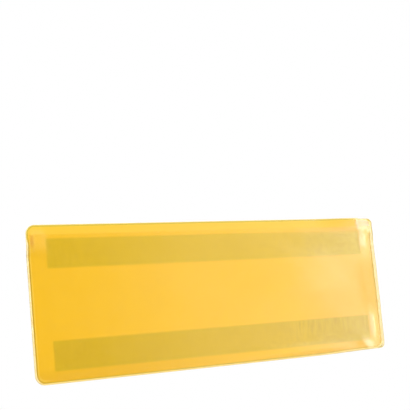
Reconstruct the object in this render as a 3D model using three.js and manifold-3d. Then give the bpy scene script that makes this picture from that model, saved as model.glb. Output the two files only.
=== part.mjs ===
// Magnetic label pouch: a flat clear-fronted pocket for a paper label strip.
//
// Units are millimetres. X runs along the width, +Z is up, and the label is read from -Y.
// The origin is the centre of the whole pouch, half way through its depth.
//
// From the front to the back, the pouch holds
//   weld seams      a raised bead on the left, right and bottom edges, where both films are melted together
//   front film      clear film, standing off the back sheet by the thickness of the pocket
//   pocket          the flat space for the label, open along the whole top edge
//   back sheet      coloured film with rounded corners, taller than the front film at the open top
//   adhesive        double-sided tape that holds each magnet strip
//   magnet strips   flexible ferrite strips that cling to a steel shelf, rack or box

import * as THREE from "three";
import { mergeVertices } from "three/addons/utils/BufferGeometryUtils.js";
import Module from "manifold-3d";

// ---- Driving dimensions ----

const WIDTH = 230;
const HEIGHT = 80;
const CORNER_RADIUS = 5.5;

const BACK_SHEET_THICKNESS = 0.35;
const FRONT_FILM_THICKNESS = 0.2;
const POCKET_DEPTH = 0.5;
// the bare strip of back sheet above the front film, which helps a label slip in
const OPEN_LIP = 5;

const SEAM_WIDTH = 1.8;
const SEAM_HEIGHT = 0.9;
const SEAM_CHAMFER = 0.2;

const MAGNET_LENGTH = 208;
const MAGNET_WIDTH = 15;
const MAGNET_THICKNESS = 1.0;
const UPPER_MAGNET_BELOW_TOP = 7.25;
const LOWER_MAGNET_ABOVE_BOTTOM = 6.25;

const ADHESIVE_THICKNESS = 0.15;
// the tape stops this far inside each edge of its magnet
const ADHESIVE_INSET = 0.3;

const ARC_SEGMENTS = 8;

// ---- Places that follow from them ----

const DEPTH = SEAM_HEIGHT + BACK_SHEET_THICKNESS + ADHESIVE_THICKNESS + MAGNET_THICKNESS;
const SHEET_FRONT_Y = -DEPTH / 2 + SEAM_HEIGHT;
const SHEET_REAR_Y = SHEET_FRONT_Y + BACK_SHEET_THICKNESS;
const ADHESIVE_REAR_Y = SHEET_REAR_Y + ADHESIVE_THICKNESS;
const FILM_REAR_Y = SHEET_FRONT_Y - POCKET_DEPTH;
const FILM_TOP_Z = HEIGHT / 2 - OPEN_LIP;
const UPPER_MAGNET_Z = HEIGHT / 2 - UPPER_MAGNET_BELOW_TOP - MAGNET_WIDTH / 2;
const LOWER_MAGNET_Z = -HEIGHT / 2 + LOWER_MAGNET_ABOVE_BOTTOM + MAGNET_WIDTH / 2;

const wasm = await Module();
wasm.setup();

// ---- Materials ----

function material(color, roughness, opacity = 1) {
  const transparent = opacity < 1;
  return new THREE.MeshStandardMaterial({ color, roughness, metalness: 0, opacity, transparent });
}

const yellowFilm = () => material(0xf9b92b, 0.4);
const clearFilm = () => material(0xfff6dc, 0.25, 0.3);
const weldedFilm = () => material(0xf6cf6e, 0.25);
const tape = () => material(0xe9e2cf, 0.7);
const ferriteRubber = () => material(0x2f2621, 0.8);

// ---- Solids ----

// An upright plate: its outline is drawn in X and Z, and it reaches back from its front face.
function upright(outline, frontY, thickness) {
  const geometry = new THREE.ExtrudeGeometry(outline, {
    depth: thickness,
    bevelEnabled: false,
    curveSegments: ARC_SEGMENTS,
  });
  geometry.rotateX(Math.PI / 2);
  geometry.translate(0, frontY + thickness, 0);
  return geometry;
}

function rectangle(left, bottom, width, height) {
  const outline = new THREE.Shape();
  outline.moveTo(left, bottom);
  outline.lineTo(left + width, bottom);
  outline.lineTo(left + width, bottom + height);
  outline.lineTo(left, bottom + height);
  outline.closePath();
  return outline;
}

function roundedOutline() {
  const x = WIDTH / 2 - CORNER_RADIUS;
  const z = HEIGHT / 2 - CORNER_RADIUS;
  const quarter = Math.PI / 2;
  const outline = new THREE.Shape();
  outline.absarc(x, z, CORNER_RADIUS, 0, quarter, false);
  outline.absarc(-x, z, CORNER_RADIUS, quarter, 2 * quarter, false);
  outline.absarc(-x, -z, CORNER_RADIUS, 2 * quarter, 3 * quarter, false);
  outline.absarc(x, -z, CORNER_RADIUS, 3 * quarter, 4 * quarter, false);
  outline.closePath();
  return outline;
}

// The section of a weld bead: its outer edge is at 0, its inner edge at inward times the seam's width,
// and both of its front corners are chamfered.
function seamSection(inward) {
  const rear = SHEET_FRONT_Y;
  const front = rear - SEAM_HEIGHT;
  const section = new THREE.Shape();
  section.moveTo(0, rear);
  section.lineTo(inward * SEAM_WIDTH, rear);
  section.lineTo(inward * SEAM_WIDTH, front + SEAM_CHAMFER);
  section.lineTo(inward * (SEAM_WIDTH - SEAM_CHAMFER), front);
  section.lineTo(inward * SEAM_CHAMFER, front);
  section.lineTo(0, front + SEAM_CHAMFER);
  section.closePath();
  return section;
}

function sideSeam(side) {
  const length = FILM_TOP_Z + HEIGHT / 2;
  const geometry = new THREE.ExtrudeGeometry(seamSection(-side), { depth: length, bevelEnabled: false });
  geometry.translate((side * WIDTH) / 2, 0, -HEIGHT / 2);
  return roundedOff(geometry);
}

function bottomSeam() {
  const length = WIDTH - 2 * SEAM_WIDTH;
  const geometry = new THREE.ExtrudeGeometry(seamSection(1), { depth: length, bevelEnabled: false });
  geometry.rotateY(-Math.PI / 2);
  geometry.translate(length / 2, 0, -HEIGHT / 2);
  return roundedOff(geometry);
}

// Takes off whatever of a solid lies outside the pouch's rounded corners.
function roundedOff(geometry) {
  const corners = upright(roundedOutline(), -DEPTH / 2, DEPTH);
  return toGeometry(toSolid(geometry).intersect(toSolid(corners)));
}

function toSolid(geometry) {
  const bare = geometry.clone();
  bare.deleteAttribute("normal");
  bare.deleteAttribute("uv");
  const merged = mergeVertices(bare);
  const mesh = new wasm.Mesh({
    numProp: 3,
    vertProperties: merged.attributes.position.array,
    triVerts: new Uint32Array(merged.index.array),
  });
  return new wasm.Manifold(mesh);
}

function toGeometry(solid) {
  const mesh = solid.getMesh();
  const geometry = new THREE.BufferGeometry();
  geometry.setAttribute("position", new THREE.BufferAttribute(mesh.vertProperties, 3));
  geometry.setIndex(new THREE.BufferAttribute(mesh.triVerts, 1));
  geometry.computeVertexNormals();
  return geometry;
}

// ---- Pieces ----

function backSheet() {
  return upright(roundedOutline(), SHEET_FRONT_Y, BACK_SHEET_THICKNESS);
}

// The flat part of the front film, which fills the frame of weld seams up to the open top.
function frontFilm() {
  const left = -WIDTH / 2 + SEAM_WIDTH;
  const bottom = -HEIGHT / 2 + SEAM_WIDTH;
  const outline = rectangle(left, bottom, -2 * left, FILM_TOP_Z - bottom);
  return upright(outline, FILM_REAR_Y - FRONT_FILM_THICKNESS, FRONT_FILM_THICKNESS);
}

function magnetStrip(centreZ) {
  const outline = rectangle(-MAGNET_LENGTH / 2, centreZ - MAGNET_WIDTH / 2, MAGNET_LENGTH, MAGNET_WIDTH);
  return upright(outline, ADHESIVE_REAR_Y, MAGNET_THICKNESS);
}

function adhesiveTape(centreZ) {
  const length = MAGNET_LENGTH - 2 * ADHESIVE_INSET;
  const width = MAGNET_WIDTH - 2 * ADHESIVE_INSET;
  const outline = rectangle(-length / 2, centreZ - width / 2, length, width);
  return upright(outline, SHEET_REAR_Y, ADHESIVE_THICKNESS);
}

const group = new THREE.Group();

function add(name, geometry, itsMaterial) {
  const mesh = new THREE.Mesh(geometry, itsMaterial);
  mesh.name = name;
  group.add(mesh);
}

add("back_sheet", backSheet(), yellowFilm());
add("front_film", frontFilm(), clearFilm());
add("weld_seam_left", sideSeam(-1), weldedFilm());
add("weld_seam_right", sideSeam(1), weldedFilm());
add("weld_seam_bottom", bottomSeam(), weldedFilm());

const magnetRows = { upper: UPPER_MAGNET_Z, lower: LOWER_MAGNET_Z };
for (const [row, centreZ] of Object.entries(magnetRows)) {
  add(`adhesive_${row}`, adhesiveTape(centreZ), tape());
  add(`magnet_strip_${row}`, magnetStrip(centreZ), ferriteRubber());
}

export default group;
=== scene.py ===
"""The looks of a magnetic label pouch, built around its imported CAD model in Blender 4.5.

X runs along the width, Z is up, and the label is read from -Y. The shapes are worked out in
millimetres and turned into metres when their mesh is made.
"""

import math
import random

import bpy
import numpy as np
from mathutils import Matrix, Vector


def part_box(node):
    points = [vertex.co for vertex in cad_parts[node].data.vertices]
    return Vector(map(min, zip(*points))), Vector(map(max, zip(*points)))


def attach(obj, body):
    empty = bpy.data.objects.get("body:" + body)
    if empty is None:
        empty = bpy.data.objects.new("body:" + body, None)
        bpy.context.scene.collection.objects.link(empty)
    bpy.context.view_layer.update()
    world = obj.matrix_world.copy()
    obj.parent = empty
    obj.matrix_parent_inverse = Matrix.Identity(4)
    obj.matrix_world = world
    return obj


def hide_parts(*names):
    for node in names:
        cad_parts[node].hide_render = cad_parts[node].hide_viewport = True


MM = 0.001

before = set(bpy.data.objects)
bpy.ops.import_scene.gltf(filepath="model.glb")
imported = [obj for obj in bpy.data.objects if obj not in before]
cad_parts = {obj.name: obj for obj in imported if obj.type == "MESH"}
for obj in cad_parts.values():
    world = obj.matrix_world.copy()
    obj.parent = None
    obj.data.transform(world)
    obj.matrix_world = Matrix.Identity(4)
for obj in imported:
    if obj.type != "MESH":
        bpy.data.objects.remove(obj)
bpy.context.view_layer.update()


# ---- The frame's sizes, in millimetres ----


def box_mm(node):
    """The low and high corners of a CAD node's box."""
    low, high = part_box(node)
    return low / MM, high / MM


SHEET_LOW, SHEET_HIGH = box_mm("back_sheet")
FILM_LOW, FILM_HIGH = box_mm("front_film")
SEAM_LOW = box_mm("weld_seam_left")[0]
MAGNETS = {row: box_mm(f"magnet_strip_{row}") for row in ("upper", "lower")}

HALF_WIDTH = SHEET_HIGH.x
HALF_HEIGHT = SHEET_HIGH.z
CORNER_RADIUS = 5.5
SHEET_FRONT = SHEET_LOW.y
SHEET_REAR = SHEET_HIGH.y
FILM_TOP = FILM_HIGH.z
FILM_THICKNESS = FILM_HIGH.y - FILM_LOW.y
POCKET_DEPTH = SHEET_FRONT - FILM_HIGH.y
BEAD_HEIGHT = SHEET_FRONT - SEAM_LOW.y
MAGNET_END = MAGNETS["upper"][1].x

# the weld: a raised bead on the very edge, then a narrow pressed land beside it
BEAD_WIDTH = 0.88
LAND_WIDTH = 0.8
WELD_WIDTH = BEAD_WIDTH + LAND_WIDTH
LAND_GAP = 0.05
BEAD_START = FILM_TOP - 2.6
# the front film was welded a little off centre, so some back sheet shows beside its right bead
RIGHT_MARGIN = 1.8

# the crease where the free top corner bends back, near the end of the magnet: where it lies at
# CREASE_HEIGHT, and how far it leans towards the middle of the pouch for each millimetre up
CREASE = MAGNET_END - 1.5
CREASE_HEIGHT = 34
CREASE_LEAN = 0.35

# how far the back sheet leaves its flat plane
EDGE_LIFT = 1.7
CORNER_BEND = 1.15
UPPER_END_DIP = 0.08
MIDDLE_END_LIFT = 0.25
LEFT_CURL = 0.95
LOWER_EDGE_DIP = 0.4
SHEET_UNEVENNESS = 0.08
CRUMPLE_HEIGHT = 0.04
RIM_ROLL = 0.25

# how far the front film stands off the back sheet; a belly is a share of the pocket's depth
BELLY = 0.2
UPPER_BELLY = 0.5
LOWER_BELLY = 0.07
SLACK = 0.7
FOLD_HEIGHT = 0.75
PUCKER_HEIGHT = 0.55
FILM_UNEVENNESS = 0.04
BRIDGED_SHARE = 0.8


# ---- Shapes of the films ----


def ramp(value, start, end):
    """0 before start, 1 after end, smooth between them."""
    t = np.clip((value - start) / (end - start), 0, 1)
    return t * t * (3 - 2 * t)


def window(value, low, high, soft):
    """1 between low and high, 0 outside, smooth over the soft width on each side."""
    return ramp(value, low - soft, low) * (1 - ramp(value, high, high + soft))


def ripple(x, z, seed, amplitude, wavelengths):
    """A gentle unevenness: a few plane waves with seeded directions and phases."""
    rng = random.Random(seed)
    total = np.zeros(np.broadcast(x, z).shape)
    for wavelength in wavelengths:
        angle = rng.uniform(0, math.pi)
        phase = rng.uniform(0, 2 * math.pi)
        along = x * math.cos(angle) + z * math.sin(angle)
        total += np.sin(2 * math.pi * along / wavelength + phase)
    return amplitude * total / len(wavelengths)


def held_by_magnet(x, z):
    """1 where a magnet strip keeps the back sheet flat, 0 away from it."""
    held = np.zeros(np.broadcast(x, z).shape)
    for low, high in MAGNETS.values():
        across = window(x, low.x, high.x, 6)
        held = np.maximum(held, across * window(z, low.z, high.z, 5))
    return held


def past_crease(x, z):
    """Distance outside the slanting crease."""
    return x - CREASE + CREASE_LEAN * (z - CREASE_HEIGHT)


def bent_back(x, z):
    """How far the free top right corner bends back, outside the crease."""
    return CORNER_BEND * np.clip(past_crease(x, z) / 12, 0, 1) * ramp(z, 31, 36)


def right_side_bends(x, z):
    """The free top edge lifts forward up to the crease, then bends back; the right edge is wavy."""
    raised = -EDGE_LIFT * ramp(past_crease(x, z), -30.5, 0) * ramp(z, 31.6, 40.4)
    upper_end = UPPER_END_DIP * ramp(x, 103, 108) * window(z, 25, 27, 4)
    middle_end = -MIDDLE_END_LIFT * ramp(x, 99, HALF_WIDTH) * window(z, -9, 9, 12)
    return raised + bent_back(x, z) + upper_end + middle_end


def crumples(x, z):
    """Small sharp waves in the sheet of the bent corner."""
    waves = ripple(x, z, 5, CRUMPLE_HEIGHT, (2.3, 3.1, 4.7))
    return waves * ramp(past_crease(x, z), 0, 2) * ramp(z, 20, 30)


def rolled_rim(x, z):
    """The edge rolls back a little where no weld holds it, and less along the right side."""
    free_rim = np.maximum(ramp(z, 24, 30) * ramp(x, -112, -98), 0.6 * ramp(x, 105, 112))
    return RIM_ROLL * (1 - ramp(pouch_edge(x, z), 0, 1.0)) * free_rim


def warp(x, z):
    """How far the pouch's surface lies behind its flat plane."""
    left_curl = -LEFT_CURL * ramp(-x, 102, HALF_WIDTH) * window(z, 30, 34, 7)
    lower_edge = LOWER_EDGE_DIP * ramp(-z, 33, 41)
    free = (1 - held_by_magnet(x, z)) * window(x, -90, 90, 20)
    uneven = free * ripple(x, z, 7, SHEET_UNEVENNESS, (46, 61, 83))
    bends = right_side_bends(x, z) + left_curl + lower_edge
    return bends + uneven + crumples(x, z) + rolled_rim(x, z)


def bump_at(x, z, centre_x, centre_z):
    """1 at a place on the pouch, falling to 0 within about 5 mm all round."""
    return np.exp(-((x - centre_x) ** 2 + (z - centre_z) ** 2) / 5)


def as_cut(x, z):
    """The outline as trimmed: top right corner a little out and low, bottom right up and squarer."""
    out = 0.55 * ramp(x, 100, HALF_WIDTH) * ramp(z, 22, 34)
    up = 0.6 * ramp(x, 66, 109) * ramp(-z, 30, HALF_HEIGHT)
    dip = 0.4 * window(x, 104.5, 110, 2) * ramp(z, 30, HALF_HEIGHT)
    squarer_top = 0.5 * bump_at(x, z, 113.6, 37.4)
    squarer_bottom = 0.7 * bump_at(x, z, 113.4, -38.4)
    return x + out + squarer_top + squarer_bottom, z + up - dip - squarer_bottom


def edge_distance(x, z, half_width, half_height, radius):
    """Distance inside the edge of a rounded rectangle."""
    across = np.abs(x) - (half_width - radius)
    up = np.abs(z) - (half_height - radius)
    outside = np.hypot(np.maximum(across, 0), np.maximum(up, 0))
    return radius - outside - np.minimum(np.maximum(across, up), 0)


def pouch_edge(x, z):
    """Distance inside the edge of the back sheet."""
    return edge_distance(x, z, HALF_WIDTH, HALF_HEIGHT, CORNER_RADIUS)


def right_margin(x):
    """How far the weld lies further in than the pouch's edge, growing towards the right end."""
    return RIGHT_MARGIN * ramp(x, 100, 113)


def bottom_margin(x):
    """The same along the bottom edge, only near the right end."""
    return 0.4 * ramp(x, 60, 90)


def as_welded(x, z):
    """Where a point of an evenly placed front film and weld really lies."""
    return x - right_margin(x), z + bottom_margin(x) * ramp(-z, 20, 38)


def weld_edge(x, z):
    """Distance inside the outer side of the weld bead."""
    return pouch_edge(x + right_margin(x), z - bottom_margin(x))


def pucker(x, z):
    """1 on the crest of the slanting pucker near the bottom right corner, 0 away from it."""
    beside, above = x - 99.0, z + 36.5
    across = 0.45 * beside + 0.9 * above
    along = 0.9 * beside - 0.45 * above
    return np.exp(-(across**2) / 6 - along**2 / 20)


def film_gap(x, z):
    """The gap between the back sheet and the front film: least at the weld, most where it bellies."""
    inside = HALF_WIDTH - np.abs(x) - right_margin(x) - 1.2 * ramp(x, 0, 90)
    side = ramp(inside, WELD_WIDTH + 2.2, WELD_WIDTH + 8.0)
    bottom = ramp(HALF_HEIGHT + z - bottom_margin(x), WELD_WIDTH, WELD_WIDTH + 6.5)
    near_upper = window(z, 28, 36, 6)
    near_lower = window(z, -27.5, -22, 7.5)
    flattened = 1 - 0.85 * ramp(z, 27, 31) * ramp(x, 50, 104)
    belly = BELLY + UPPER_BELLY * near_upper * flattened + LOWER_BELLY * near_lower
    uneven = ripple(x, z, 3, FILM_UNEVENNESS, (17, 23, 31, 44))
    bellied = (belly * POCKET_DEPTH + uneven - LAND_GAP) * side * bottom
    fold = FOLD_HEIGHT * window(z, -36, -34, 3) * ramp(x, 0, 46) * (1 - ramp(x, 44, 103))
    slack = SLACK * (ramp(x, 0, 54) - ramp(x, 48, 98)) * window(z, 2, 18, 9)
    bridged = BRIDGED_SHARE * bent_back(x, z) * ramp(weld_edge(x, z), 1.2, 3.6)
    return LAND_GAP + bellied + PUCKER_HEIGHT * pucker(x, z) + fold + slack + bridged


# ---- Mesh making ----


def stations(low, high, step, edge_steps):
    """Positions from low to high, close together near both ends."""
    inner_low = low + edge_steps[-1]
    inner_high = high - edge_steps[-1]
    count = max(1, round((inner_high - inner_low) / step))
    inner = np.linspace(inner_low, inner_high, count + 1)[1:-1]
    start = [low + distance for distance in edge_steps]
    end = [high - distance for distance in reversed(edge_steps)]
    return np.array([*start, *inner, *end])


def round_corners(x, z, centre_z, half_width, half_height, top_radius, bottom_radius):
    """Bends the corner squares of a grid into quarter discs."""
    x, z = x.copy(), z - centre_z
    for sign, radius in ((1, top_radius), (-1, bottom_radius)):
        u = (np.abs(x) - half_width + radius) / radius
        v = (sign * z - half_height + radius) / radius
        corner = (u > 0) & (v > 0)
        round_u = u * np.sqrt(np.clip(1 - v * v / 2, 0, 1))
        round_v = v * np.sqrt(np.clip(1 - u * u / 2, 0, 1))
        new_x = np.sign(x) * (half_width - radius + round_u * radius)
        new_z = sign * (half_height - radius + round_v * radius)
        x = np.where(corner, new_x, x)
        z = np.where(corner, new_z, z)
    return x, z + centre_z


def plate_grid(low, high, step, edge_steps, top_radius, bottom_radius):
    """X and Z of a grid over a rounded rectangle."""
    x, z = np.meshgrid(
        stations(low[0], high[0], step, edge_steps),
        stations(low[1], high[1], step, edge_steps),
    )
    half_width = (high[0] - low[0]) / 2
    half_height = (high[1] - low[1]) / 2
    centre_z = (high[1] + low[1]) / 2
    return round_corners(x, z, centre_z, half_width, half_height, top_radius, bottom_radius)


def edge_rounding(distance, radius):
    """How far a face drops back beside a cut edge that is rounded off."""
    t = 1 - np.clip(distance / radius, 0, 1)
    return radius * (1 - np.sqrt(1 - t * t))


def closed_plate(name, x, z, front_y, rear_y, attributes=None, front_only=()):
    """A closed mesh between a front and a rear surface that share one grid.

    The attributes hold a value for each grid point; those in front_only are 0 on the rear.
    """
    rows, columns = x.shape
    half = rows * columns
    x, z = as_cut(x, z)
    front = np.stack([x, front_y, z], -1).reshape(-1, 3)
    rear = np.stack([x, rear_y, z], -1).reshape(-1, 3)
    index = np.arange(half).reshape(rows, columns)
    quads = np.stack([index[:-1, :-1], index[:-1, 1:], index[1:, 1:], index[1:, :-1]], -1)
    quads = quads.reshape(-1, 4)
    rim = [*index[0, :], *index[1:, -1], *index[-1, -2::-1], *index[-2:0:-1, 0]]
    walls = [(a, a + half, b + half, b) for a, b in zip(rim, rim[1:] + rim[:1])]
    faces = quads.tolist() + (quads[:, ::-1] + half).tolist() + walls
    mesh = bpy.data.meshes.new(name)
    mesh.from_pydata((np.concatenate([front, rear]) * MM).tolist(), [], faces)
    for key, values in (attributes or {}).items():
        layer = mesh.attributes.new(key, "FLOAT", "POINT")
        rear_values = values * (key not in front_only)
        both = np.concatenate([values.ravel(), rear_values.ravel()])
        layer.data.foreach_set("value", both.astype(np.float32))
    return finish_mesh(name, mesh)


def finish_mesh(name, mesh):
    """Shades a mesh smooth and puts it in the scene."""
    mesh.update()
    mesh.shade_smooth()
    piece = bpy.data.objects.new(name, mesh)
    bpy.context.scene.collection.objects.link(piece)
    return piece


# ---- Node helpers ----


def plug(tree, value, socket):
    """Links a socket's value into another socket, or sets a plain number or colour there."""
    if isinstance(value, bpy.types.NodeSocket):
        tree.links.new(value, socket)
    else:
        socket.default_value = value


def calculate(tree, operation, *values, clamp=False):
    """The result of a math node."""
    node = tree.nodes.new("ShaderNodeMath")
    node.operation = operation
    node.use_clamp = clamp
    for socket, value in zip(node.inputs, values):
        plug(tree, value, socket)
    return node.outputs[0]


def remap(tree, value, low, high, to_low=0.0, to_high=1.0, smooth=False):
    """The value stretched from one range to another, and held at the ends."""
    node = tree.nodes.new("ShaderNodeMapRange")
    node.interpolation_type = "SMOOTHSTEP" if smooth else "LINEAR"
    for socket, number in zip(node.inputs, (value, low, high, to_low, to_high)):
        plug(tree, number, socket)
    return node.outputs[0]


def blend_colours(tree, factor, first, second):
    """The first colour where factor is 0, the second where it is 1."""
    node = tree.nodes.new("ShaderNodeMix")
    node.data_type = "RGBA"
    plug(tree, factor, node.inputs["Factor"])
    colours = [socket for socket in node.inputs if socket.type == "RGBA"]
    plug(tree, first, colours[0])
    plug(tree, second, colours[1])
    return next(socket for socket in node.outputs if socket.type == "RGBA")


def object_position(tree, scale=(1, 1, 1)):
    """The point on the piece, in metres, stretched by scale."""
    coordinate = tree.nodes.new("ShaderNodeTexCoord")
    mapping = tree.nodes.new("ShaderNodeMapping")
    mapping.inputs["Scale"].default_value = scale
    tree.links.new(coordinate.outputs["Object"], mapping.inputs["Vector"])
    return mapping.outputs["Vector"]


def grain(tree, size_mm, detail=2.0, stretch=(1, 1, 1)):
    """Noise whose grains are about size_mm across, longer where stretch is below 1."""
    node = tree.nodes.new("ShaderNodeTexNoise")
    node.inputs["Scale"].default_value = 1 / (size_mm * MM)
    node.inputs["Detail"].default_value = detail
    tree.links.new(object_position(tree, stretch), node.inputs["Vector"])
    return node.outputs["Fac"]


def bumped(tree, height, depth_mm, strength=1.0):
    """A normal bent as if the surface rose by depth_mm where height is 1."""
    node = tree.nodes.new("ShaderNodeBump")
    node.inputs["Distance"].default_value = depth_mm * MM
    node.inputs["Strength"].default_value = strength
    tree.links.new(height, node.inputs["Height"])
    return node.outputs["Normal"]


def attribute(tree, name):
    """A value stored on the mesh's points."""
    node = tree.nodes.new("ShaderNodeAttribute")
    node.attribute_name = name
    return node.outputs["Fac"]


def empty_material(name):
    """A new material and its node tree, with nothing in it."""
    material = bpy.data.materials.new(name)
    material.use_nodes = True
    material.node_tree.nodes.clear()
    return material, material.node_tree


def show(tree, shader):
    """Makes a shader the material's surface."""
    output = tree.nodes.new("ShaderNodeOutputMaterial")
    tree.links.new(shader, output.inputs["Surface"])


def principled_material(name, colour, roughness, normal, tree, material, specular=0.5):
    """Finishes a material with one principled shader."""
    node = tree.nodes.new("ShaderNodeBsdfPrincipled")
    plug(tree, colour, node.inputs["Base Color"])
    plug(tree, roughness, node.inputs["Roughness"])
    node.inputs["Specular IOR Level"].default_value = specular
    if normal is not None:
        tree.links.new(normal, node.inputs["Normal"])
    show(tree, node.outputs["BSDF"])
    material.name = name
    return material


# ---- Materials, with colours in linear light ----

BARE_YELLOW = (0.925, 0.555, 0.044, 1)
YELLOW = (0.95, 0.562, 0.025, 1)
YELLOW_DEEP = (0.935, 0.545, 0.022, 1)
# the bands over the magnets are painted shade: the magnets behind the translucent sheet keep light from
# coming through it
BAND_SHADE_OLIVE = (0.765, 0.50, 0.018, 1)
BAND_SHADE_DARK = (0.61, 0.38, 0.008, 1)
YELLOW_SHADED = (0.89, 0.51, 0.018, 1)
# painted shade and glare tone: the front turns duller towards the right end
YELLOW_FAR_GLARE_SHADE = (0.885, 0.495, 0.043, 1)
BAND_SHADE_FAR_GLARE = (0.68, 0.468, 0.022, 1)
# beside the weld: the fused film's deeper colour with painted shade in the groove by the bead, darker
# still towards the right end
WELD_LAND_AND_SHADE = (0.72, 0.44, 0.03, 1)
WELD_LAND_FAR_SHADE = (0.62, 0.40, 0.02, 1)
# painted highlight on the front film's slope beside the left weld
AMBER_HIGHLIGHT = (1.0, 0.68, 0.12, 1)
# painted shade in the crease where the left edge curls
CREASE_SHADE_ORANGE = (0.80, 0.40, 0.012, 1)
# painted shadow line just inside the cut edge
RIM_SHADOW_LINE = (0.64, 0.47, 0.045, 1)
# painted light that passes through the thin rounded cut edge
CUT_EDGE_GLOW = (0.88, 0.72, 0.32, 1)
WELD_FLASH = (0.74, 0.60, 0.32, 1)
# painted glare tone: duller and less saturated where the bent films catch the light
GLARE_TONE_YELLOW = (0.77, 0.46, 0.18, 1)
BEAD_CREAM = (0.96, 0.80, 0.40, 1)
BEAD_AMBER = (0.93, 0.68, 0.24, 1)
# painted shade of the bead's bottom run
BEAD_SHADED_HONEY = (0.84, 0.64, 0.20, 1)
FILM_TINT = (0.998, 0.995, 0.90, 1)
FILM_GLOSS = (1, 1, 0.98, 1)
MAGNET_DARK = (0.024, 0.017, 0.013, 1)
MAGNET_BROWN = (0.052, 0.038, 0.029, 1)
MAGNET_DUST = (0.12, 0.10, 0.085, 1)
TAPE_PALE = (0.80, 0.76, 0.66, 1)
TAPE_DULL = (0.70, 0.64, 0.52, 1)
FLOOR_GREY = (0.86, 0.86, 0.86, 1)
FLOOR_PALE = (0.9, 0.9, 0.9, 1)
WHITE = (1, 1, 1, 1)


def strip_mask(tree, position):
    """1 over the magnet strips behind the back sheet, with the soft edge that the film gives them;
    there the sheet is painted with the shade the magnets cast through it.
    """
    axes = tree.nodes.new("ShaderNodeSeparateXYZ")
    tree.links.new(position, axes.inputs[0])
    soft = 0.7 * MM
    mask = 0.0
    for low, high in MAGNETS.values():
        middle_z = (low.z + high.z) / 2 * MM
        half_z = (high.z - low.z) / 2 * MM
        beside_x = calculate(tree, "ABSOLUTE", axes.outputs["X"])
        beside_z = calculate(
            tree, "ABSOLUTE", calculate(tree, "SUBTRACT", axes.outputs["Z"], middle_z)
        )
        half_x = high.x * MM
        in_x = remap(tree, beside_x, half_x - soft, half_x + soft, 1, 0, smooth=True)
        in_z = remap(tree, beside_z, half_z - soft, half_z + soft, 1, 0, smooth=True)
        mask = calculate(tree, "MAXIMUM", mask, calculate(tree, "MULTIPLY", in_x, in_z))
    return mask


# how much deeper the crumples of the bent corner are than the film's own fine grain
CRUMPLE_RATIO = 110


def yellow_film():
    """Yellow film, a little uneven in colour. Painted shade darkens it over the magnets, in the left
    crease and along the cut edge, and adds to the fused film's deeper colour beside the welds; a
    painted highlight, a painted glow and painted glare tone change it in a few places.
    """
    material, tree = empty_material("yellow_film")
    ribs = grain(tree, 0.9, 2, (1, 1, 0.05))
    cloud = remap(tree, calculate(tree, "ADD", grain(tree, 18, 3), ribs), 0.8, 1.2)
    colour = blend_colours(tree, cloud, YELLOW, YELLOW_DEEP)
    colour = blend_colours(tree, attribute(tree, "shaded"), colour, YELLOW_SHADED)
    # painted shade and glare tone towards the right end
    colour = blend_colours(tree, attribute(tree, "far"), colour, YELLOW_FAR_GLARE_SHADE)
    colour = blend_colours(tree, attribute(tree, "bare"), colour, BARE_YELLOW)
    # painted shade of the bands over the magnets, deeper on the lower band and towards the right end
    waves = remap(tree, grain(tree, 1.2, 2, (0.5, 1, 1)), 0.35, 0.65, -1, 1)
    uprights = remap(tree, grain(tree, 0.9, 0, (1, 1, 0.12)), 0.35, 0.65, -1, 1)
    shade = calculate(tree, "MULTIPLY_ADD", waves, attribute(tree, "wavy"), attribute(tree, "band_shade"))
    shade = calculate(tree, "MULTIPLY_ADD", uprights, attribute(tree, "ribbed"), shade)
    olive = blend_colours(tree, attribute(tree, "far"), BAND_SHADE_OLIVE, BAND_SHADE_FAR_GLARE)
    band = blend_colours(tree, calculate(tree, "ADD", shade, 0, clamp=True), olive, BAND_SHADE_DARK)
    # the bands' painted shade fades where the sheet lifts off the top of the upper magnet and light
    # gets between
    band_shade_kept = calculate(tree, "SUBTRACT", 1, attribute(tree, "band_shade_fade"))
    covered = calculate(tree, "MULTIPLY", strip_mask(tree, object_position(tree)), band_shade_kept)
    colour = blend_colours(tree, covered, colour, band)
    # painted glare tone over the bent places at the right end
    mottle = remap(tree, grain(tree, 2.6, 3), 0.35, 0.65, 0.5, 1)
    bent = calculate(tree, "MULTIPLY", mottle, attribute(tree, "bent"))
    colour = blend_colours(tree, bent, colour, GLARE_TONE_YELLOW)
    for name, paint in (
        ("land", WELD_LAND_AND_SHADE),
        ("land_far_shade", WELD_LAND_FAR_SHADE),
        ("amber", AMBER_HIGHLIGHT),
        ("crease", CREASE_SHADE_ORANGE),
        ("flash", WELD_FLASH),
        ("rim_shadow_line", RIM_SHADOW_LINE),
        ("rim", CUT_EDGE_GLOW),
    ):
        colour = blend_colours(tree, attribute(tree, name), colour, paint)
    roughness = remap(tree, grain(tree, 3, 2), 0.3, 0.7, 0.17, 0.215)
    crumples = calculate(tree, "MULTIPLY", grain(tree, 2.4, 3), attribute(tree, "bent"))
    relief = calculate(tree, "MULTIPLY_ADD", crumples, CRUMPLE_RATIO, grain(tree, 0.5, 3))
    normal = bumped(tree, relief, 0.003, 0.5)
    return principled_material("yellow_film", colour, roughness, normal, tree, material, 0.8)


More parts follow.
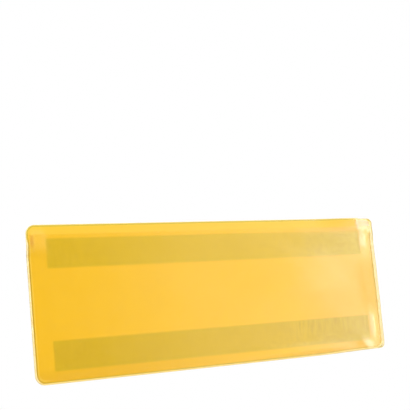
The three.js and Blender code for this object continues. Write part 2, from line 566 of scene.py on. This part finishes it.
def clear_film():
    """Clear film: it lets the sheet behind it through and adds only its own soft gloss."""
    material, tree = empty_material("clear_film")
    facing = tree.nodes.new("ShaderNodeLayerWeight")
    grazing = calculate(tree, "POWER", facing.outputs["Facing"], 5.0)
    reflected = remap(tree, grazing, 0, 1, 0.03, 1)
    through = tree.nodes.new("ShaderNodeBsdfTransparent")
    through.inputs["Color"].default_value = FILM_TINT
    gloss = tree.nodes.new("ShaderNodeBsdfGlossy")
    gloss.inputs["Color"].default_value = FILM_GLOSS
    smudges = grain(tree, 6, 5, (0.7, 1, 1.3))
    plug(tree, remap(tree, smudges, 0.3, 0.7, 0.20, 0.265), gloss.inputs["Roughness"])
    normal = bumped(tree, grain(tree, 2.2, 3, (1, 1, 0.25)), 0.012, 0.6)
    tree.links.new(normal, gloss.inputs["Normal"])
    mix = tree.nodes.new("ShaderNodeMixShader")
    tree.links.new(reflected, mix.inputs["Fac"])
    tree.links.new(through.outputs[0], mix.inputs[1])
    tree.links.new(gloss.outputs[0], mix.inputs[2])
    show(tree, mix.outputs[0])
    return material


def welded_film():
    """Melted bead: pale and glossy, with amber where more of the yellow film ran into it, and painted
    shade that turns the inner half of its bottom run honey.
    """
    material, tree = empty_material("welded_film")
    melt = remap(tree, grain(tree, 2.4, 3), 0.35, 0.7)
    colour = blend_colours(tree, melt, BEAD_CREAM, BEAD_AMBER)
    colour = blend_colours(tree, attribute(tree, "pale"), BEAD_SHADED_HONEY, colour)
    roughness = remap(tree, grain(tree, 1.2, 2), 0.3, 0.7, 0.15, 0.26)
    normal = bumped(tree, grain(tree, 0.8, 2), 0.02, 0.6)
    return principled_material("welded_film", colour, roughness, normal, tree, material)


def ferrite_rubber():
    """Dark brown flexible magnet: matt, with fine lines along the strip and pale dust specks."""
    material, tree = empty_material("ferrite_rubber")
    lines = grain(tree, 0.5, 2, (0.02, 1, 1))
    mottle = grain(tree, 4, 4)
    shade = calculate(tree, "ADD", lines, mottle)
    shade = remap(tree, shade, 0.75, 1.25)
    colour = blend_colours(tree, shade, MAGNET_DARK, MAGNET_BROWN)
    specks = remap(tree, grain(tree, 0.35, 1), 0.7, 0.78)
    colour = blend_colours(tree, specks, colour, MAGNET_DUST)
    roughness = remap(tree, mottle, 0.3, 0.7, 0.55, 0.8)
    normal = bumped(tree, lines, 0.03, 0.8)
    return principled_material("ferrite_rubber", colour, roughness, normal, tree, material)


def adhesive_tape():
    """Pale tape, seen only as a thin line round each magnet."""
    material, tree = empty_material("adhesive_tape")
    cloud = remap(tree, grain(tree, 1.5, 2), 0.3, 0.7)
    colour = blend_colours(tree, cloud, TAPE_PALE, TAPE_DULL)
    normal = bumped(tree, grain(tree, 0.4, 2), 0.02, 0.5)
    return principled_material("adhesive_tape", colour, 0.55, normal, tree, material)


def pale_floor():
    """Pale matt floor, a little cloudy."""
    material, tree = empty_material("pale_floor")
    cloud = remap(tree, grain(tree, 300, 2), 0.3, 0.7)
    colour = blend_colours(tree, cloud, FLOOR_GREY, FLOOR_PALE)
    return principled_material("pale_floor", colour, 0.8, None, tree, material, 0.1)


# ---- Pieces ----

FILM_EDGE_STEPS = (0, 0.03, 0.08, 0.16, 0.3, 0.5, 0.75, 1.0, 1.3, 1.6, 2.0, 2.5, 3.0, 3.5)
BAR_EDGE_STEPS = (0, 0.03, 0.09, 0.18, 0.3, 0.6)
FILM_STEP = 1.25
CUT_EDGE_ROUNDING = 0.12
PRESSED_DEPTH = 0.06
FILM_CORNER_RADIUS = 0.6
BEAD_STEP = 0.8
BEAD_SIDES = 12
CORNER_STEPS = 12
MAGNET_STEP = 1.5
MAGNET_CORNER_RADIUS = 0.3
MAGNET_EDGE_ROUNDING = 0.18


def place(piece, material, slot, *nodes):
    """Gives a piece its finish and has it stand for CAD nodes of the same body."""
    piece.data.materials.append(material)
    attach(piece, "root")
    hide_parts(*nodes)


def under_weld(z):
    """1 at the heights where the weld runs down the two sides, 0 above its upper ends."""
    return 1 - ramp(z, BEAD_START - 2, BEAD_START + 2)


def glare_tone_patches(x, z):
    """1 where the bent films catch the light near the right end, 0 elsewhere; there the sheet is
    painted duller and less saturated, as the glare's tone.
    """
    corner = window(past_crease(x, z), 0, 10, 0.7) * ramp(z, 31, 34)
    upper = 0.8 * window(x, 104.2, 107.6, 1.8) * window(z, 24, 31, 4)
    lower = 0.9 * window(x, 105, 107.5, 1.5) * window(z, -29, -21.5, 5.5)
    beside_pucker = pucker(x - 3.2, z - 0.4)
    return np.maximum.reduce((corner, upper, lower, beside_pucker))


def surface_paints(x, z):
    """Where the sheet's colour changes over its face: the bare lip, and painted shade and glare tone at
    the right end, the bends, the lower left edge, the band tops and the left crease.
    """
    return {
        "bare": ramp(z, FILM_TOP - 0.3, FILM_TOP + 0.3),
        "far": ramp(x, 40, 92),
        "shaded": ramp(-z, 32, 35) * (1 - ramp(x, -60, 30)),
        "band_shade_fade": 0.65 * ramp(x, 0, 90) * ramp(z, 30, 33.2),
        "bent": glare_tone_patches(x, z),
        # painted shade in the crease of the curled left edge
        "crease": window(x, -112.5, -111.5, 0.5) * window(z, 30, 33, 2.5),
    }


def band_paints(x, z):
    """How dark the painted shade of the bands over the magnets is, and how far it is mottled or ribbed.
    """
    above_lower_edge = ramp(z, -29, -25)
    mottled_rows = np.maximum(ramp(z, 0, 10), 1 - above_lower_edge)
    ribbed_rows = (1 - ramp(z, -16, -10)) * above_lower_edge
    return {
        "band_shade": 0.17 - 0.1 * ramp(x, -100, 0) + 0.2 * ramp(-z, 0, 10) + 0.3 * ramp(x, 50, 90),
        "wavy": 0.08 + 0.42 * ramp(x, 0, 80) * mottled_rows,
        "ribbed": 0.08 + 0.4 * ramp(x, 20, 70) * ribbed_rows,
    }


def edge_paints(x, z):
    """The lines along the sheet's cut edge and beside the weld: a painted shadow line and a painted
    glow at the cut edge, a painted highlight beside the left weld, the flash, and the fused film's
    colour with painted shade beside the weld.
    """
    edge = pouch_edge(x, z)
    weld = weld_edge(x, z)
    welded = under_weld(z)
    on_side = ramp(np.abs(x), 107, 112)
    # the fused film's colour and painted groove shade beside the weld
    land = window(weld, BEAD_WIDTH, BEAD_WIDTH + 0.5 + 0.3 * on_side, 0.2) * (0.75 + 0.25 * on_side)
    land = land * welded * (1 - 0.4 * ramp(x, 108, 112) * ramp(-z, -2, 8))
    # a painted highlight on the film's slope beside the left weld
    amber = window(weld, WELD_WIDTH + 0.15, WELD_WIDTH + 0.6, 0.25) * ramp(-x, 105, 110)
    flash = (1 - ramp(weld, 0.2, 0.5)) * ramp(x, 105, 112)
    right_edge = ramp(x, 107, 112) * (0.7 + 0.3 * ramp(z, 20, 28))
    free_edge = np.maximum.reduce((1 - welded, 1 - on_side, right_edge))
    top_right = ramp(x, 108, 111) * ramp(z, 30, 34)
    return {
        "land": land,
        "land_far_shade": land * ramp(x, 60, 112),
        "amber": amber * welded,
        "flash": flash * welded,
        "rim_shadow_line": window(edge, 0.4, 1.0 + 0.3 * top_right, 0.3) * free_edge,
        # the cut edge's painted glow
        "rim": 1 - ramp(edge, 0.2, 0.5),
    }


def yellow_sheet():
    """The back sheet, pressed thinner behind the weld."""
    low = (-HALF_WIDTH, -HALF_HEIGHT)
    high = (HALF_WIDTH, HALF_HEIGHT)
    x, z = plate_grid(low, high, FILM_STEP, FILM_EDGE_STEPS, CORNER_RADIUS, CORNER_RADIUS)
    surface = warp(x, z)
    drop = edge_rounding(pouch_edge(x, z), CUT_EDGE_ROUNDING)
    pressed = PRESSED_DEPTH * window(weld_edge(x, z), 0.3, WELD_WIDTH, 0.3) * under_weld(z)
    front = SHEET_FRONT + surface + drop
    rear = SHEET_REAR + surface - drop - pressed
    paints = {**surface_paints(x, z), **band_paints(x, z), **edge_paints(x, z)}
    front_only = ("far", "shaded", "band_shade_fade", "bent", "crease")
    return closed_plate("yellow_sheet", x, z, front, rear, paints, front_only)


def clear_front():
    """The front film, whose welded edges end just under the bead."""
    inset = BEAD_WIDTH - 0.1
    low = (-HALF_WIDTH + inset, -HALF_HEIGHT + inset)
    high = (HALF_WIDTH - inset, FILM_TOP)
    bottom_radius = CORNER_RADIUS - inset
    x, z = plate_grid(low, high, FILM_STEP, FILM_EDGE_STEPS, FILM_CORNER_RADIUS, bottom_radius)
    x, z = as_welded(x, z)
    rear = SHEET_FRONT + warp(x, z) - film_gap(x, z)
    top_edge = edge_rounding(FILM_TOP - z, FILM_THICKNESS * 0.4)
    return closed_plate("clear_front", x, z, rear - FILM_THICKNESS + top_edge, rear - top_edge)


def seam_path(offset, step):
    """Points down the left edge, along the bottom and up the right, with their inward directions."""
    radius = CORNER_RADIUS - offset
    side_x = HALF_WIDTH - offset
    bottom_z = -HALF_HEIGHT + offset
    corner_x = HALF_WIDTH - CORNER_RADIUS
    corner_z = -HALF_HEIGHT + CORNER_RADIUS
    path = []
    for z in np.arange(BEAD_START, corner_z, -step):
        path.append((-side_x, z, 1.0, 0.0))
    for angle in np.linspace(0, math.pi / 2, CORNER_STEPS):
        inward = (math.cos(angle), math.sin(angle))
        path.append((-corner_x - radius * inward[0], corner_z - radius * inward[1], *inward))
    for x in np.arange(-corner_x + step, corner_x - step / 2, step):
        path.append((x, bottom_z, 0.0, 1.0))
    for angle in np.linspace(math.pi / 2, math.pi, CORNER_STEPS):
        inward = (math.cos(angle), math.sin(angle))
        path.append((corner_x - radius * inward[0], corner_z - radius * inward[1], *inward))
    for z in np.arange(corner_z + step, BEAD_START, step):
        path.append((side_x, z, -1.0, 0.0))
    return np.array(path)


def weld_bead():
    """The melted ridge on three edges: a low rounded section that runs out at its two ends."""
    path = seam_path(BEAD_WIDTH / 2, BEAD_STEP)
    x, z, inward_x, inward_z = path.T
    x, z = as_welded(x, z)
    along = np.arange(len(path)) * BEAD_STEP
    run_out = ramp(along, -0.5, 3) * ramp(along[::-1], -0.5, 3)
    lumps = 1 + ripple(along, 0 * along, 11, 0.12, (4.1, 7.3, 12.7))
    height = BEAD_HEIGHT * 0.75 * run_out * lumps + 0.04
    half = BEAD_WIDTH / 2 * (0.55 + 0.45 * run_out)
    rear = SHEET_FRONT + warp(x, z) + 0.05
    rings = []
    for side in range(BEAD_SIDES):
        angle = math.pi * side / (BEAD_SIDES - 1)
        across = -math.cos(angle) * half
        forward = math.sin(angle) ** 0.8 * height
        ring_x, ring_z = as_cut(x + inward_x * across, z + inward_z * across)
        rings.append(np.stack([ring_x, rear - forward, ring_z], -1))
    points = np.stack(rings, 1)
    count = len(path)
    index = np.arange(count * BEAD_SIDES).reshape(count, BEAD_SIDES)
    faces = []
    for i in range(count - 1):
        for j in range(BEAD_SIDES):
            k = (j + 1) % BEAD_SIDES
            faces.append((index[i, j], index[i, k], index[i + 1, k], index[i + 1, j]))
    faces.append(tuple(index[0, ::-1]))
    faces.append(tuple(index[-1, :]))
    faces = [[int(corner) for corner in face] for face in faces]
    mesh = bpy.data.meshes.new("weld_bead")
    mesh.from_pydata((points.reshape(-1, 3) * MM).tolist(), [], faces)
    # the bottom run's inner half is painted honey as shade; elsewhere the bead keeps its cream
    on_side = ramp(np.abs(inward_x), 0.3, 0.9)[:, None]
    outer_half = 1 - ramp(np.arange(BEAD_SIDES) / (BEAD_SIDES - 1), 0.2, 0.45)[None, :]
    pale = np.maximum(on_side, outer_half * np.ones_like(on_side)).ravel()
    layer = mesh.attributes.new("pale", "FLOAT", "POINT")
    layer.data.foreach_set("value", pale.astype(np.float32))
    return finish_mesh("weld_bead", mesh)


def magnet_bar(name, low, high):
    """A flexible magnet strip with rounded edges and a slightly worn rear face."""
    low_corner = (low.x, low.z)
    high_corner = (high.x, high.z)
    radius = MAGNET_CORNER_RADIUS
    x, z = plate_grid(low_corner, high_corner, MAGNET_STEP, BAR_EDGE_STEPS, radius, radius)
    centre_z = (low.z + high.z) / 2
    edge = edge_distance(x, z - centre_z, high.x, (high.z - low.z) / 2, radius)
    drop = edge_rounding(edge, MAGNET_EDGE_ROUNDING)
    worn = ripple(x, z, len(name), 0.015, (9, 14, 27))
    return closed_plate(name, x, z, low.y + drop, high.y - drop - np.abs(worn))


# ---- Stage, light and camera: angles in degrees, distances and sizes in metres ----

CAMERA_AZIMUTH = -34.06
CAMERA_ELEVATION = -2.59
CAMERA_DISTANCE = 0.6033
CAMERA_HEADING = -33.604
CAMERA_PITCH = 7.26
CAMERA_ROLL = -5.41
LENS_MM = 95.54
SENSOR_MM = 36
AMBIENT_STRENGTH = 0.06
FLOOR_RADIUS = 1.6
FLOOR_DROP = 0.45
FLOOR_SIDES = 96


def seen_from(azimuth, elevation, distance):
    """A point round the pouch: azimuth 0 is straight in front, positive azimuths are to the right."""
    turn, rise = math.radians(azimuth), math.radians(elevation)
    flat = distance * math.cos(rise)
    return Vector((flat * math.sin(turn), -flat * math.cos(turn), distance * math.sin(rise)))


def make_camera():
    """The camera, placed by its direction from the pouch and turned by its own three angles."""
    data = bpy.data.cameras.new("camera")
    data.lens = LENS_MM
    data.sensor_width = SENSOR_MM
    data.clip_start = 0.01
    camera = bpy.data.objects.new("camera", data)
    turn = Matrix.Rotation(math.radians(CAMERA_HEADING), 4, "Z")
    tip = Matrix.Rotation(math.radians(90 + CAMERA_PITCH), 4, "X")
    roll = Matrix.Rotation(math.radians(CAMERA_ROLL), 4, "Z")
    place_at = Matrix.Translation(seen_from(CAMERA_AZIMUTH, CAMERA_ELEVATION, CAMERA_DISTANCE))
    camera.matrix_world = place_at @ turn @ tip @ roll
    bpy.context.scene.collection.objects.link(camera)
    bpy.context.scene.camera = camera


def softbox(name, azimuth, elevation, distance, width, height, radiance):
    """A rectangular soft light that faces the pouch, placed as seen_from says."""
    data = bpy.data.lights.new(name, "AREA")
    data.shape = "RECTANGLE"
    data.size = width
    data.size_y = height
    data.energy = radiance * math.pi * width * height
    light = bpy.data.objects.new(name, data)
    position = seen_from(azimuth, elevation, distance)
    light.location = position
    light.rotation_euler = (-position).to_track_quat("-Z", "Y").to_euler()
    light.visible_camera = False
    bpy.context.scene.collection.objects.link(light)


def make_lights():
    """A key light and its dim spill on the right, whose glare the bent films catch, and three fills."""
    softbox("key", 54.2, 6, 2.2, 0.64, 1.8, 6.1)
    softbox("key_spill", 40.7, 6, 2.3, 0.95, 1.9, 0.68)
    softbox("fill_left", -62, 20, 2.2, 2.0, 2.0, 3.1)
    softbox("fill_top", -10, 60, 2.0, 2.0, 1.5, 2.7)
    softbox("fill_behind", 160, 30, 1.6, 1.3, 1.3, 4.0)


def make_world():
    """White to the eye, and a dim even light on the pouch."""
    world = bpy.data.worlds.new("studio")
    bpy.context.scene.world = world
    world.use_nodes = True
    tree = world.node_tree
    tree.nodes.clear()
    path = tree.nodes.new("ShaderNodeLightPath")
    seen = tree.nodes.new("ShaderNodeBackground")
    seen.inputs["Color"].default_value = WHITE
    ambient = tree.nodes.new("ShaderNodeBackground")
    ambient.inputs["Color"].default_value = WHITE
    ambient.inputs["Strength"].default_value = AMBIENT_STRENGTH
    mix = tree.nodes.new("ShaderNodeMixShader")
    tree.links.new(path.outputs["Is Camera Ray"], mix.inputs["Fac"])
    tree.links.new(ambient.outputs[0], mix.inputs[1])
    tree.links.new(seen.outputs[0], mix.inputs[2])
    output = tree.nodes.new("ShaderNodeOutputWorld")
    tree.links.new(mix.outputs[0], output.inputs["Surface"])
    bpy.context.scene.view_settings.view_transform = "Standard"


def make_floor():
    """A round pale floor well below the pouch, which hangs by its magnets in use."""
    mesh = bpy.data.meshes.new("floor")
    points = []
    for i in range(FLOOR_SIDES):
        angle = 2 * math.pi * i / FLOOR_SIDES
        points.append((FLOOR_RADIUS * math.cos(angle), FLOOR_RADIUS * math.sin(angle), -FLOOR_DROP))
    mesh.from_pydata(points, [], [tuple(range(FLOOR_SIDES))])
    mesh.materials.append(pale_floor())
    floor = bpy.data.objects.new("floor", mesh)
    bpy.context.scene.collection.objects.link(floor)


# ---- The scene ----

make_camera()
make_world()
make_lights()
make_floor()

place(yellow_sheet(), yellow_film(), "yellow_film", "back_sheet")
place(clear_front(), clear_film(), "clear_film", "front_film")
seams = ("weld_seam_left", "weld_seam_right", "weld_seam_bottom")
place(weld_bead(), welded_film(), "welded_film", *seams)

magnet_finish = ferrite_rubber()
tape_finish = adhesive_tape()
for row, (low, high) in MAGNETS.items():
    bar = magnet_bar(f"{row}_magnet", low, high)
    place(bar, magnet_finish, "ferrite_rubber", f"magnet_strip_{row}")
    tape_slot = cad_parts[f"adhesive_{row}"].material_slots[0]
    tape_slot.link = "OBJECT"
    tape_slot.material = tape_finish
